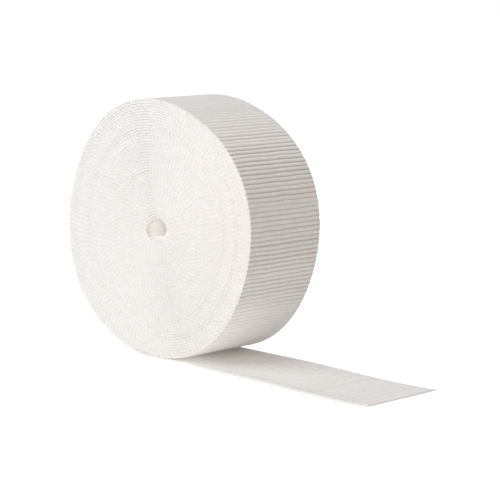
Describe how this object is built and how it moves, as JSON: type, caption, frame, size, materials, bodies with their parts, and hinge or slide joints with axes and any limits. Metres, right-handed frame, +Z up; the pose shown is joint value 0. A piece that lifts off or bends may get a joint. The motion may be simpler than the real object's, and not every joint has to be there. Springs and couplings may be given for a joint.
{
  "type": "roll of polypropylene webbing",
  "caption": "Ribbed woven strip wound flat on itself into a roll with a small open centre, its loose end lying out flat along the surface.",
  "frame": {"origin": "on the surface that the roll stands on, straight below the roll's axis, half way across the strip's width", "axes": "+Z up, Y along the roll's axis, +X the way that the loose end runs out"},
  "size_m": [0.2033, 0.0504, 0.1287],
  "materials": {
    "webbing": "undyed white polypropylene weave, matt with a faint sheen"
  },
  "bodies": {
    "root": {"wound_roll": "webbing", "loose_end": "webbing"}
  },
  "joints": []
}
